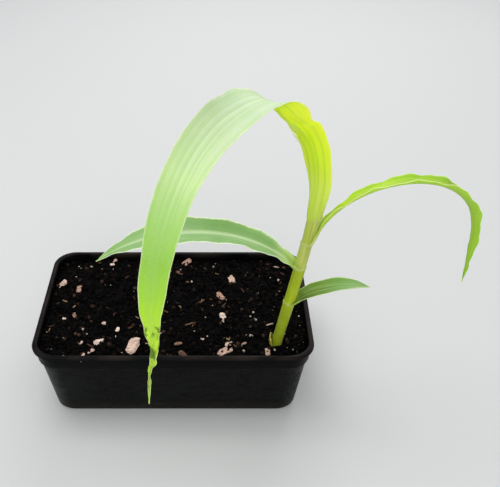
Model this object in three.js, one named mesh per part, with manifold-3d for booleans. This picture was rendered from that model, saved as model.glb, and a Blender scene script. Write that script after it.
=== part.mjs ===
// A young maize plant in a black rectangular pot of compost.
// Millimetres, +Z up. The origin is the middle of the pot's flat underside, +X runs along the
// pot's long side and -Y is the side that the big leaf hangs over.
import * as THREE from "three";
import { mergeVertices } from "three/addons/utils/BufferGeometryUtils.js";
import Module from "manifold-3d";

const wasm = await Module();
wasm.setup();

// Pot: a thin tapered tray with a wider band and a lip at the top
const POT_LENGTH = 174;
const POT_DEPTH = 106;
const POT_HEIGHT = 56;
const POT_CORNER = 14;
const LIP_THICKNESS = 2;
const LIP_WIDTH = 1.8;
const LIP_EDGE = 0.25;
const BAND_HEIGHT = 11;
const BAND_STEP = 1.2;
const BAND_EASE = 1;
const WALL = 1.5;
const FOOT_INSET = 8.2;
const CORNER_STEPS = 6;
const LEAST_CORNER = 2;

// Compost: fills the pot to a little below its lip
const SOIL_LEVEL = 52;
const SOIL_EDGE_DROP = 1;
const SOIL_EDGE_WIDTH = 2;
const GAP = 0.3;
const SOIL_GAP = 0.4;

// Stem: rolled leaf sheaths that stand near the right front corner and lean to the right
const FOOT_X = 64;
const FOOT_Y = -36;
const FOOT_RADIUS = 3.05;
const FOOT_FLARE = 0.35;
const FLARE_HEIGHT = 4;
const STEM_HEIGHT = 97.5;
const STEM_LEAN = 15.5;
const STEM_LEAN_FORWARD = -1.2;
const STEM_BOW = 0.3;
const SHEATH_RADIUS = 3.45;
const SHEATH_STEP = 0.06;
const WHORL_RADIUS = 3.95;
const COLLAR_HEIGHTS = [35, 61.5, 79, 96.5];
const COLLAR_BEAD = 0.4;
const COLLAR_SPREAD = 1.4;
const COLLAR_EDGE = 0.2;
const SHEATH_EASE = 9;
const LOWER_RING = 20;
const STEM_SIDES = 16;

// Leaves: a blade is at least this share of its length thick at its midrib
const THICK_SHARE = 0.0105;
const MARGIN_SHARE = 0.38;
const THINNEST = 1;
const ACROSS = 4;
const FIRST_COLLAR = 0;
const SECOND_COLLAR = 1;
const THIRD_COLLAR = 2;
const WHORL = 3;

// Each blade leaves its collar towards azimuth (degrees from +X), and its slope turns from the
// first to the last value between the two shares of its length. It reaches its full width where
// it opens, and cuts split it at its bends. narrowed and swayed give a withered end its width and
// its shift to the side, and the torn margins are drawn in, or out where a value is negative.
const BLADES = {
  leaf_1: {
    collar: FIRST_COLLAR, azimuth: 8, turn: -6, slopes: [28, -14], span: [0, 1], length: 47,
    width: 14.5, neck: 0.42, broadest: 0.5, point: 2.6, twist: [-4, -8], channel: 0.16,
    steps: 16, cuts: { leaf_1: [0, 1] },
  },
  leaf_2: {
    collar: SECOND_COLLAR, azimuth: 188, turn: -3, slopes: [46, -44], span: [0, 1.02], length: 124,
    width: 18, neck: 0.4, broadest: 0.5, point: 2, twist: [-15, -12, -24, -14], channel: 0.14,
    steps: 30, cuts: { leaf_2_rising: [0, 0.45], leaf_2_drooping: [0.45, 1] },
  },
  leaf_3: {
    collar: THIRD_COLLAR, azimuth: -8, turn: 44, slopes: [65.5, -86], span: [0, 0.74], length: 172,
    width: 14, neck: 0.34, opens: 0.64, broadest: 0.46, point: 2, twist: [-14, -5, 12], channel: 0.3,
    steps: 40, cuts: { leaf_3_rising: [0, 0.36], leaf_3_drooping: [0.36, 1] },
  },
  leaf_4: {
    collar: WHORL, azimuth: 214, turn: 45, slopes: [90.5, -77.5], span: [0, 0.771], length: 261.5,
    width: 19.8, neck: 0.69, broadest: 0.36, point: 2.1, twist: [-12, 14, 9.5, -24, -12, -5, -3.5],
    channel: 0.12, steps: 108,
    narrowed: [[0.84, 1], [0.88, 0.5], [0.92, 0.66], [0.945, 0.32], [0.98, 0.8], [1, 0.8]],
    swayed: [[0.84, 0], [0.88, 1.7], [0.92, 1.5], [0.94, 0], [1, 0]],
    rightTorn: [
      [0.2, 0], [0.244, 0.2], [0.254, 2.8], [0.285, 1.1], [0.315, 0], [0.37, -0.1], [0.43, -1.1],
      [0.47, -1.7], [0.56, -1], [0.65, 0], [1, 0],
    ],
    leftTorn: [
      [0.15, 0], [0.174, -0.4], [0.19, -2], [0.202, -3.8], [0.222, -4], [0.26, -2], [0.28, -1.6],
      [0.3, 0], [0.33, -0.2], [0.36, -0.3], [0.385, -1.6], [0.42, -1.4], [0.46, 0], [0.855, 0],
      [0.87, -1], [0.884, -1], [0.895, 0], [1, 0],
    ],
    cuts: { leaf_4_rising: [0, 0.3], leaf_4_arch: [0.3, 0.6], leaf_4_hanging: [0.6, 1] },
  },
  leaf_5: {
    collar: WHORL, azimuth: 75, turn: 120, slopes: [86, 38], span: [0.1, 1], length: 61, seat: 20,
    width: 7, neck: 0.5, broadest: 0.3, point: 1.8, twist: [-65, -35, 0], channel: 0.2,
    steps: 22, cuts: { leaf_5: [0, 1] },
  },
};
const TIP_WIDTH = 1.6;
const END_ROUNDING = 0.12;
const ROOTED = 1.6;
const WHORL_OFFSET = 1.9;
const WHORL_SEAT = 0.35;
const NECK_SHARE = 0.26;
const NECK_CURVE = 0.8;
const NARROW_SHARE = 0.3;
const TIP_THICKNESS_SHARE = 0.5;
const FINE_STEPS = 400;

// Coleoptile: the papery first sheath, left as a scale round the foot's left side
const SCALE_AZIMUTH = 192;
const SCALE_SPREAD = 62;
const SCALE_HEIGHT = 8.8;
const SCALE_THICKNESS = 0.7;
const SCALE_CLEARANCE = 0.35;
const SCALE_FLARE = 0.7;
const SCALE_CLOSING = 0.85;
const SCALE_STEPS = 8;
const SCALE_ROWS = 6;
const SCALE_NARROWING = 0.8;

// Vertices closer than this are one
const WELD = 1e-3;

const radians = THREE.MathUtils.degToRad;
const vec = (x, y, z) => new THREE.Vector3(x, y, z);

// Closed skin over rings of equal length, whose first and last rings have no area
function skin(rings) {
  const count = rings[0].length;
  const geometry = new THREE.BufferGeometry();
  const places = rings.flat().flatMap((p) => [p.x, p.y, p.z]);
  geometry.setAttribute("position", new THREE.Float32BufferAttribute(places, 3));
  const faces = [];
  for (let r = 0; r + 1 < rings.length; r++)
    for (let i = 0; i < count; i++) {
      const a = r * count + i;
      const b = r * count + ((i + 1) % count);
      faces.push(a, b, b + count, a, b + count, a + count);
    }
  geometry.setIndex(faces);
  return tidy(geometry);
}

// Shared vertices are merged and faces that have closed up are dropped
function tidy(geometry) {
  const merged = mergeVertices(geometry, WELD);
  const old = merged.index.array;
  const kept = [];
  for (let i = 0; i < old.length; i += 3) {
    const [a, b, c] = [old[i], old[i + 1], old[i + 2]];
    if (a !== b && b !== c && c !== a) kept.push(a, b, c);
  }
  merged.setIndex(kept);
  return merged;
}

function solidOf(geometry) {
  const mesh = new wasm.Mesh({
    numProp: 3,
    vertProperties: new Float32Array(geometry.attributes.position.array),
    triVerts: new Uint32Array(geometry.index.array),
  });
  const solid = new wasm.Manifold(mesh);
  if (solid.volume() > 0) return solid;
  for (let i = 0; i < mesh.triVerts.length; i += 3)
    [mesh.triVerts[i + 1], mesh.triVerts[i + 2]] = [mesh.triVerts[i + 2], mesh.triVerts[i + 1]];
  return new wasm.Manifold(mesh);
}

function geometryOf(solid) {
  const mesh = solid.getMesh();
  const geometry = new THREE.BufferGeometry();
  geometry.setAttribute("position", new THREE.Float32BufferAttribute(mesh.vertProperties, 3));
  geometry.setIndex(Array.from(mesh.triVerts));
  return geometry;
}

function largestBody(solid) {
  return solid.decompose().reduce((best, body) => (body.volume() > best.volume() ? body : best));
}

// A level ring in the pot's outline, drawn in from it
function potRing(inset, z) {
  const radius = Math.max(POT_CORNER - inset, LEAST_CORNER);
  const x = POT_LENGTH / 2 - inset - radius;
  const y = POT_DEPTH / 2 - inset - radius;
  const corners = [[x, y], [-x, y], [-x, -y], [x, -y]];
  return corners.flatMap(([cx, cy], corner) =>
    Array.from({ length: CORNER_STEPS + 1 }, (_, step) => {
      const turn = (Math.PI / 2) * (corner + step / CORNER_STEPS);
      return vec(cx + radius * Math.cos(turn), cy + radius * Math.sin(turn), z);
    }),
  );
}

const pointRing = (ring, point) => ring.map(() => point.clone());
const BAND_FOOT = POT_HEIGHT - BAND_HEIGHT;
const BAND_INSET = LIP_WIDTH + LIP_EDGE;
const SHOULDER = BAND_FOOT - BAND_STEP;

// The outer wall's inset at a height below the band
function outerInset(z) {
  const top = BAND_INSET + BAND_STEP;
  return THREE.MathUtils.lerp(FOOT_INSET, top, z / SHOULDER);
}

function potGeometry() {
  const brim = POT_HEIGHT - LIP_THICKNESS / 4;
  const lipFoot = POT_HEIGHT - LIP_THICKNESS;
  const outside = [
    [outerInset(0) + WALL, 0],
    [outerInset(WALL), WALL],
    [outerInset(SHOULDER), SHOULDER],
    [BAND_INSET, BAND_FOOT],
    [LIP_WIDTH, lipFoot - LIP_EDGE],
    [LIP_EDGE, lipFoot],
    [0, brim],
    [2 * LIP_EDGE, POT_HEIGHT],
  ];
  const inside = [
    [LIP_WIDTH + 2 * LIP_EDGE, POT_HEIGHT],
    [LIP_WIDTH + WALL - LIP_EDGE, brim],
    [BAND_INSET + WALL, BAND_FOOT + BAND_EASE],
    [outerInset(SHOULDER) + WALL, SHOULDER],
    [outerInset(2 * WALL) + WALL, 2 * WALL],
    [outerInset(WALL) + 2 * WALL, WALL],
  ];
  const rings = [...outside, ...inside].map(([inset, z]) => potRing(inset, z));
  const first = pointRing(rings[0], vec(0, 0, 0));
  const last = pointRing(rings[0], vec(0, 0, WALL));
  return skin([first, ...rings, last]);
}

function compostGeometry() {
  const clear = WALL + SOIL_GAP;
  const low = WALL + GAP;
  const rings = [
    potRing(outerInset(WALL) + 2 * WALL + SOIL_GAP, low),
    potRing(outerInset(2 * WALL) + clear, 2 * WALL + GAP),
    potRing(outerInset(SHOULDER) + clear, SHOULDER),
    potRing(BAND_INSET + clear, BAND_FOOT + BAND_EASE),
    potRing(BAND_INSET + clear, SOIL_LEVEL - SOIL_EDGE_DROP),
    potRing(BAND_INSET + clear + SOIL_EDGE_WIDTH, SOIL_LEVEL),
  ];
  const first = pointRing(rings[0], vec(0, 0, low));
  const last = pointRing(rings[0], vec(0, 0, SOIL_LEVEL));
  return skin([first, ...rings, last]);
}

// The stem's middle at a height above the compost
function stemAt(height) {
  const share = height / STEM_HEIGHT;
  const bow = STEM_BOW * Math.sin(Math.PI * Math.min(share, 1));
  return vec(
    FOOT_X + STEM_LEAN * share + bow,
    FOOT_Y + STEM_LEAN_FORWARD * share,
    SOIL_LEVEL + GAP + height,
  );
}

// The stem's radius: a flare at the foot, a step in at each sheath and a bead at each collar
function stemRadius(height) {
  const flare = FOOT_FLARE * Math.exp(-height / FLARE_HEIGHT);
  const taper = THREE.MathUtils.lerp(FOOT_RADIUS, SHEATH_RADIUS, Math.min(height / COLLAR_HEIGHTS[0], 1));
  const passed = COLLAR_HEIGHTS.filter((collar) => height > collar).length;
  const lastSheath = COLLAR_HEIGHTS[THIRD_COLLAR];
  const opening = THREE.MathUtils.smoothstep(height, lastSheath, STEM_HEIGHT);
  const bead = Math.max(
    ...COLLAR_HEIGHTS.map((collar) => 1 - Math.abs(height - collar) / COLLAR_SPREAD), 0,
  );
  const widened = THREE.MathUtils.lerp(taper - SHEATH_STEP * passed, WHORL_RADIUS, opening);
  return flare + widened + COLLAR_BEAD * bead;
}

function stemRing(height, extra = 0) {
  const middle = stemAt(height);
  const radius = stemRadius(height) + extra;
  return Array.from({ length: STEM_SIDES }, (_, i) => {
    const turn = (2 * Math.PI * i) / STEM_SIDES;
    return vec(middle.x + radius * Math.cos(turn), middle.y + radius * Math.sin(turn), middle.z);
  });
}

function stemHeights() {
  const foot = [0, FLARE_HEIGHT / 3, FLARE_HEIGHT, 2 * FLARE_HEIGHT, LOWER_RING];
  const collars = COLLAR_HEIGHTS.flatMap((collar) => [
    collar - COLLAR_SPREAD, collar, Math.min(collar + COLLAR_EDGE, STEM_HEIGHT),
  ]);
  const above = COLLAR_HEIGHTS.slice(0, WHORL).flatMap((collar) => [
    collar + COLLAR_SPREAD, collar + SHEATH_EASE,
  ]);
  return [...new Set([...foot, ...collars, ...above, STEM_HEIGHT])].sort((a, b) => a - b);
}

function stemGeometry(extra = 0) {
  const rings = stemHeights().map((height) => stemRing(height, extra));
  const foot = pointRing(rings[0], stemAt(0));
  const top = pointRing(rings[0], stemAt(STEM_HEIGHT));
  return skin([foot, ...rings, top]);
}

// How far a blade's slope has turned at a share of its length, with soft ends
function turned(share, [from, to]) {
  const soft = END_ROUNDING;
  const eased = (x) => (x <= 0 ? 0 : x < soft ? (x * x) / (2 * soft) : x - soft / 2);
  return Math.min(Math.max((eased(share - from) - eased(share - to)) / (to - from), 0), 1);
}

// A value along a blade from a short list of evenly spaced ones
function along(list, share) {
  const place = share * (list.length - 1);
  const index = Math.min(Math.floor(place), list.length - 2);
  return THREE.MathUtils.lerp(list[index], list[index + 1], place - index);
}

// A value along a blade from a short list of shares and values
function marked(marks, share) {
  const next = marks.findIndex(([place]) => place >= share);
  if (next <= 0) return marks[0][1];
  const [[from, low], [to, high]] = marks.slice(next - 1, next + 1);
  return THREE.MathUtils.mapLinear(share, from, to, low, high);
}

function bladeWidth(blade, share) {
  const opened = Math.min(share / (blade.opens ?? NECK_SHARE), 1) ** NECK_CURVE;
  const neck = blade.neck + (1 - blade.neck) * opened;
  const past = Math.max((share - blade.broadest) / (1 - blade.broadest), 0);
  const withered = blade.narrowed ? marked(blade.narrowed, share) : 1;
  return Math.max(blade.width * neck * (1 - past ** blade.point) * withered, TIP_WIDTH);
}

// Where a blade starts: sunk in the stem at its collar, or on the whorl's rim
function bladeRoot(blade) {
  const way = radians(blade.seat ?? blade.azimuth);
  const collar = COLLAR_HEIGHTS[blade.collar];
  const atWhorl = blade.collar === WHORL;
  const root = stemAt(atWhorl ? STEM_HEIGHT : collar);
  const out = atWhorl ? WHORL_OFFSET : stemRadius(collar) - ROOTED;
  root.add(vec(Math.cos(way) * out, Math.sin(way) * out, atWhorl ? WHORL_SEAT : 0));
  return root;
}

// The midrib's places and headings, at fine even steps
function bladeLine(blade) {
  const step = blade.length / FINE_STEPS;
  const place = bladeRoot(blade);
  const line = [];
  for (let i = 0; i <= FINE_STEPS; i++) {
    const share = i / FINE_STEPS;
    const slope = radians(THREE.MathUtils.lerp(...blade.slopes, turned(share, blade.span)));
    const way = radians(blade.azimuth + blade.turn * share);
    const heading = vec(
      Math.cos(slope) * Math.cos(way), Math.cos(slope) * Math.sin(way), Math.sin(slope),
    );
    line.push({ place: place.clone(), heading, way });
    place.addScaledVector(heading, step);
  }
  return line;
}

// A place on the midrib between two of its fine steps
function station(line, share) {
  const index = Math.min(Math.floor(share * (line.length - 1)), line.length - 2);
  const between = share * (line.length - 1) - index;
  const { place, heading, way } = line[index];
  return { place: place.clone().lerp(line[index + 1].place, between), heading, way };
}

// A blade's section: a shallow channel, thickest at the midrib, margins lifted on the upper side
function bladeRing(blade, line, share, flat) {
  const { place, heading, way } = station(line, share);
  const level = vec(-Math.sin(way), Math.cos(way), 0);
  const upper = heading.clone().cross(level);
  const twist = radians(along(blade.twist, share));
  const side = level.clone().multiplyScalar(Math.cos(twist)).addScaledVector(upper, Math.sin(twist));
  const up = heading.clone().cross(side);
  const whole = bladeWidth(blade, share) / 2;
  const sway = blade.swayed ? marked(blade.swayed, share) : 0;
  const torn = [blade.leftTorn, blade.rightTorn].map((marks) => (marks ? marked(marks, share) : 0));
  const thick = Math.max(blade.length * THICK_SHARE, THINNEST);
  const narrowed = Math.min(whole / (NARROW_SHARE * blade.width), 1);
  const thinned = Math.max(narrowed, TIP_THICKNESS_SHARE);
  const point = (u, face) => {
    const half = whole - torn[u > 0 ? 1 : 0];
    const body = thick * thinned * THREE.MathUtils.lerp(1, MARGIN_SHARE, Math.abs(u));
    const lift = blade.channel * half * 2 * (u * u) + (flat ? 0 : (face * body) / 2);
    return place.clone().addScaledVector(side, u * half + sway).addScaledVector(up, lift);
  };
  const ring = [];
  for (let i = 0; i <= ACROSS; i++) ring.push(point((2 * i) / ACROSS - 1, -1));
  for (let i = ACROSS; i >= 0; i--) ring.push(point((2 * i) / ACROSS - 1, 1));
  return ring;
}

function bladeGeometry(blade, line, [from, to]) {
  const half = GAP / 2 / blade.length;
  const start = from > 0 ? from + half : 0;
  const end = to < 1 ? to - half : 1;
  const steps = Math.round(blade.steps * (end - start));
  const rings = [];
  for (let i = 0; i <= steps; i++)
    rings.push(bladeRing(blade, line, THREE.MathUtils.lerp(start, end, i / steps), false));
  rings.unshift(bladeRing(blade, line, start, true));
  rings.push(bladeRing(blade, line, end, true));
  return skin(rings);
}

// A curved scale that stands round part of the stem's foot
function scaleGeometry() {
  const rings = [];
  const ring = (share, inner, outer) => {
    const height = SCALE_HEIGHT * share;
    const middle = stemAt(height);
    const bulge = SCALE_FLARE * Math.sin(Math.PI * SCALE_CLOSING * share);
    const reach = stemRadius(height) + SCALE_CLEARANCE + bulge;
    const spread = radians(SCALE_SPREAD) * Math.sqrt(1 - SCALE_NARROWING * share * share);
    const point = (i, radius) => {
      const turn = radians(SCALE_AZIMUTH) + spread * ((2 * i) / SCALE_STEPS - 1);
      return vec(middle.x + radius * Math.cos(turn), middle.y + radius * Math.sin(turn), middle.z);
    };
    const loop = [];
    for (let i = 0; i <= SCALE_STEPS; i++) loop.push(point(i, reach + outer));
    for (let i = SCALE_STEPS; i >= 0; i--) loop.push(point(i, reach + inner));
    return loop;
  };
  const middle = SCALE_THICKNESS / 2;
  rings.push(ring(0, middle, middle));
  for (let i = 0; i <= SCALE_ROWS; i++) rings.push(ring(i / SCALE_ROWS, 0, SCALE_THICKNESS));
  rings.push(ring(1, middle, middle));
  return skin(rings);
}

const finishes = {
  black_plastic: { color: 0x141516, roughness: 0.42, metalness: 0 },
  compost: { color: 0x1d1511, roughness: 0.95, metalness: 0 },
  sheath: { color: 0x8a9c2e, roughness: 0.5, metalness: 0 },
  papery_scale: { color: 0xb7a968, roughness: 0.8, metalness: 0 },
  leaf: { color: 0x8fc45c, roughness: 0.5, metalness: 0 },
  young_leaf: { color: 0xb9d66a, roughness: 0.5, metalness: 0 },
};

const group = new THREE.Group();

function add(name, finish, geometry) {
  const shown = geometry.toNonIndexed();
  shown.computeVertexNormals();
  const mesh = new THREE.Mesh(shown, new THREE.MeshStandardMaterial(finishes[finish]));
  mesh.name = name;
  group.add(mesh);
}

const upright = (geometry) => geometryOf(solidOf(geometry));

add("pot", "black_plastic", upright(potGeometry()));
add("compost", "compost", upright(compostGeometry()));
add("stem", "sheath", upright(stemGeometry()));
add("coleoptile", "papery_scale", upright(scaleGeometry()));

const clearance = solidOf(stemGeometry(GAP));
for (const [plainName, blade] of Object.entries(BLADES)) {
  const line = bladeLine(blade);
  for (const [name, cut] of Object.entries(blade.cuts)) {
    const whole = solidOf(bladeGeometry(blade, line, cut));
    const clear = cut[0] === 0 ? largestBody(whole.subtract(clearance)) : whole;
    add(name, plainName === "leaf_5" ? "young_leaf" : "leaf", geometryOf(clear));
  }
}

export default group;
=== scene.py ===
import math
import random

import bpy
import numpy as np
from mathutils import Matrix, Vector, noise


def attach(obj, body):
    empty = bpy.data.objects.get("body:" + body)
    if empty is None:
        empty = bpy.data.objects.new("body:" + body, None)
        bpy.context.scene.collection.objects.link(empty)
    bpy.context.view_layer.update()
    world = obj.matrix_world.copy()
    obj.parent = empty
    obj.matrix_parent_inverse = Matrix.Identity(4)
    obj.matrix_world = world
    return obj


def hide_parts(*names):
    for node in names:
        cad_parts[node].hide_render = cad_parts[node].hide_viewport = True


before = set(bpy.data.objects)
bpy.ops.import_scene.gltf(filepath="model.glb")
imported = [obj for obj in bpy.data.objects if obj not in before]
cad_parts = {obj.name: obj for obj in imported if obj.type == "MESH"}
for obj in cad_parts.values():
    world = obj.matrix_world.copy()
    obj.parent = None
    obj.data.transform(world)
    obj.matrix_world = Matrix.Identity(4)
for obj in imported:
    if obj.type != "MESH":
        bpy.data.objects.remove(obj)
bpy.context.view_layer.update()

# A young maize plant in a black nursery pot. Sizes are in millimetres and degrees until a mesh is
# placed, and MM turns them into metres.
MM = 0.001

# The pot and its compost
POT_LENGTH = 174
POT_DEPTH = 106
POT_HEIGHT = 56
POT_CORNER = 14
CORNER_SEGMENTS = 9
FOOT_INSET = 8.2
BAND_FOOT = 45
BAND_STEP = 1.2
BAND_INSET = 2.05
SHOULDER = BAND_FOOT - BAND_STEP
WALL = 1.1
SOIL_LEVEL = 52
SOIL_INSET = BAND_INSET + WALL + 0.15
SOIL_LENGTH = POT_LENGTH - 2 * SOIL_INSET
SOIL_DEPTH = POT_DEPTH - 2 * SOIL_INSET
SOIL_CORNER = POT_CORNER - SOIL_INSET

# The stem of rolled sheaths, as in the part
FOOT_X = 64
FOOT_Y = -36
STEM_FOOT = SOIL_LEVEL + 0.3
FOOT_RADIUS = 3.05
FOOT_FLARE = 0.35
FLARE_HEIGHT = 4
SHEATH_RADIUS = 3.45
SHEATH_STEP = 0.06
WHORL_RADIUS = 3.95
STEM_HEIGHT = 97.5
STEM_LEAN = 15.5
STEM_LEAN_FORWARD = -1.2
STEM_BOW = 0.3
COLLAR_HEIGHTS = (35, 61.5, 79, 96.5)
WHORL = 3

# The blades, as in the part, with finer marks. Marks and cuts pair a share of the length with a
# value: a share of the width in width_marks and sag_marks, else millimetres. A ripple has a height,
# a number of waves and a phase, crumple and rolled have a start, a stop and a strength.
BLADES = {
    "leaf_1": dict(
        collar=0, azimuth=8, turn=-6, slopes=(28, -14), span=(0, 1), length=47, width=14.5,
        neck=0.42, broadest=0.5, point=2.6, twist=(-4, -8), channel=0.16, rows=90,
        clasp=105, clasp_run=9, ripple=(0.25, 1.6, 0.4),
    ),
    "leaf_2": dict(
        collar=1, azimuth=188, turn=-3, slopes=(46, -44), span=(0, 1.02), length=124, width=18,
        neck=0.4, broadest=0.5, point=2, twist=(-15, -12, -24, -14), channel=0.14, rows=170,
        clasp=105, clasp_run=13, ripple=(0.55, 5.3, 1.1),
    ),
    "leaf_3": dict(
        collar=2, azimuth=-8, turn=44, slopes=(65.5, -86), span=(0, 0.74), length=172, width=14,
        neck=0.34, opens=0.64, broadest=0.46, point=2, twist=(-14, -5, 12), channel=0.3, rows=220,
        clasp=62, clasp_run=14, ripple=(0.6, 7.2, 2.3),
    ),
    "leaf_4": dict(
        collar=WHORL, azimuth=214, turn=45, slopes=(90.5, -77.5), span=(0, 0.771), length=261.5,
        width=19.8, neck=0.69, broadest=0.36, point=2.1, twist=(-12, 14, 9.5, -24, -12, -5, -3.5),
        channel=0.12, rows=340, clasp=115, clasp_run=22, ripple=(0.35, 6.2, 0.2), groove=0.14,
        width_marks=(
            (0, 1), (0.76, 1), (0.8, 1.1), (0.83, 1.03), (0.85, 0.9), (0.867, 0.72), (0.88, 0.5),
            (0.905, 0.64), (0.92, 0.66), (0.935, 0.42), (0.945, 0.3), (0.96, 0.45), (0.98, 0.8),
            (1, 0.8),
        ),
        sway_marks=((0, 0), (0.84, 0), (0.87, 1.4), (0.885, 1.8), (0.92, 1.5), (0.94, 0), (1, 0)),
        right_cuts=(
            (0.01, 0), (0.03, -0.4), (0.055, -1.2), (0.08, -1.6), (0.1, -1.4), (0.125, -0.7),
            (0.15, -0.2), (0.18, 0), (0.236, 0.1), (0.246, 0.3), (0.25, 2.7), (0.258, 2.9),
            (0.285, 1.1), (0.315, 0), (0.37, -0.1), (0.43, -1.1), (0.47, -1.7), (0.51, -1.5),
            (0.56, -1), (0.6, -0.5), (0.65, 0),
        ),
        left_cuts=(
            (0.15, 0), (0.174, -0.4), (0.184, -2), (0.194, -1.8), (0.2, -3.8), (0.222, -4),
            (0.24, -2.8), (0.262, -2), (0.28, -1.6), (0.3, 0.2), (0.33, -0.2), (0.36, -0.3),
            (0.385, -1.6), (0.42, -1.4), (0.46, 0), (0.855, 0), (0.87, -1), (0.884, -1), (0.895, 0),
        ),
        curl=dict(place=0.185, side=-1, run=0.009, reach=0.42, angle=165),
        sag_marks=(
            (0.16, 0), (0.2, 0.03), (0.24, 0.1), (0.27, 0.17), (0.295, 0.2), (0.315, 0.16),
            (0.335, 0.07), (0.36, -0.02), (0.39, -0.06), (0.42, -0.03), (0.46, 0),
        ),
        crumple=(0.855, 0.955, 0.62), rolled=(0.865, 0.95, 0.22),
    ),
    "leaf_5": dict(
        collar=WHORL, azimuth=75, turn=120, slopes=(86, 38), span=(0.1, 1), length=61, seat=20,
        width=7, neck=0.5, broadest=0.3, point=1.8, twist=(-65, -35, 0), channel=0.2, rows=110,
        clasp=0, clasp_run=8, clasp_gap=-1.4, ripple=(0.1, 3.1, 0.7),
    ),
}
BLADE_COLUMNS = 34
BLADE_THICKNESS = 0.42
MARGIN_SHARE = 0.35
MARGIN_THINNING = 1.5
BLADE_SHADING = 50
TIP_WIDTH = 0.5
END_ROUNDING = 0.12
NECK_SHARE = 0.26
NECK_CURVE = 0.8
ROOTED = 1.6
COLLAR_REACH = 0.4
WHORL_OFFSET = 1.9
WHORL_SEAT = 0.35
FINE_STEPS = 400
# How tightly a channel curls for its depth, and from which share of the width on
CHANNEL_CURL = 4
NARROWEST_SHARE = 0.3
ROLL_FADE = 0.02
# Where the ripples start, are full, fade and end, how far one margin's lag behind the other's, and
# the shorter waves in them
RIPPLED = (0, 0.12, 0.9, 1)
RIPPLE_LAG = 1.3
SHORT_WAVES = 2.3
SHORT_WAVE_SHARE = 0.5
VEIN_RIDGES = 9
VEIN_RIDGE_HEIGHT = 0.05
GROOVE_DEPTH = 0.32
GROOVE_SHARE = 0.075
GROOVE_FADE = (0.7, 1)
CLASP_RISE = 0.8
CLASP_DROP = 0.9
CLASP_GAP = 0.1
# The withered end's dents: how they come and go, their size across and along, and where the noise
# for a dent along X, Y and Z is read
DENTS_COME = 0.02
DENTS_GO = 0.03
DENTS_ACROSS = 1.6
DENT_LENGTH = 3.2
DENT_LEVEL = 4.7
DENT_SHIFTS = (3.7, 11.3, 23.9)
FAINTEST_DENT = 0.01

MERGE_DISTANCE = 0.00001
TINY = 1e-6


def edit_all():
    bpy.ops.object.mode_set(mode="EDIT")
    bpy.ops.mesh.select_all(action="SELECT")


def edit_done():
    bpy.ops.object.mode_set(mode="OBJECT")


def nothing_selected():
    if bpy.context.object and bpy.context.object.mode != "OBJECT":
        edit_done()
    bpy.ops.object.select_all(action="DESELECT")


def call_it(name):
    piece = bpy.context.object
    piece.name = name
    piece.data.name = name
    return piece


def dress(piece, slot, *nodes):
    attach(piece, "root")
    if nodes:
        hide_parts(*nodes)


def places_of(piece):
    flat = np.empty(len(piece.data.vertices) * 3)
    piece.data.vertices.foreach_get("co", flat)
    return flat.reshape(-1, 3)


def place_all(piece, places):
    piece.data.vertices.foreach_set("co", np.asarray(places, float).ravel())
    piece.data.update()


def mark_points(mesh, label, values):
    attribute = mesh.attributes.new(label, "FLOAT", "POINT")
    attribute.data.foreach_set("value", np.asarray(values, np.float32))


def new_grid(name, columns, rows, size):
    nothing_selected()
    bpy.ops.mesh.primitive_grid_add(x_subdivisions=columns, y_subdivisions=rows, size=size)
    return call_it(name)


def new_sheet(name, columns, rows):
    """A flat grid with its points' places across, from -1 to 1, and along, from 0 to 1."""
    piece = new_grid(name, columns, rows, 2)
    flat = places_of(piece)
    return piece, flat[:, 0], (flat[:, 1] + 1) / 2


def noise_along(*places):
    """Soft noise at a row of places, given by their three coordinates."""
    return np.array([noise.noise(Vector(spot)) for spot in np.broadcast(*places)])


def smooth_step(start, stop, value):
    t = np.clip((value - start) / (stop - start), 0, 1)
    return t * t * (3 - 2 * t)


def between(start, full, fade, end, value):
    """Rises from 0 to 1 and falls back to 0."""
    return smooth_step(start, full, value) * (1 - smooth_step(fade, end, value))


def draw_up(rise):
    bpy.ops.mesh.extrude_region_move(TRANSFORM_OT_translate={"value": tuple(rise)})


def thicken(piece, thickness, angle, **settings):
    """Gives a sheet its thickness and shades it smooth up to an angle."""
    modifier = piece.modifiers.new("thickness", "SOLIDIFY")
    modifier.thickness = thickness * MM
    modifier.offset = 0
    for key, value in settings.items():
        setattr(modifier, key, value)
    bpy.ops.object.modifier_apply(modifier="thickness")
    bpy.ops.object.shade_smooth_by_angle(angle=math.radians(angle))


def finish_mesh(piece, material, angle):
    """Merges doubles, turns the faces out and shades the piece smooth up to an angle."""
    piece.data.materials.append(material)
    nothing_selected()
    piece.select_set(True)
    bpy.context.view_layer.objects.active = piece
    edit_all()
    bpy.ops.mesh.remove_doubles(threshold=MERGE_DISTANCE)
    bpy.ops.mesh.normals_make_consistent(inside=False)
    edit_done()
    bpy.ops.object.shade_smooth_by_angle(angle=math.radians(angle))


# Material building. A colour is its red, green and blue from 0 to 255, as on a screen


def shade(red, green, blue):
    """A screen colour as the linear colour that a socket takes."""
    def linear(level):
        level /= 255
        return level / 12.92 if level <= 0.04045 else ((level + 0.055) / 1.055) ** 2.4

    return (linear(red), linear(green), linear(blue), 1)


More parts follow.
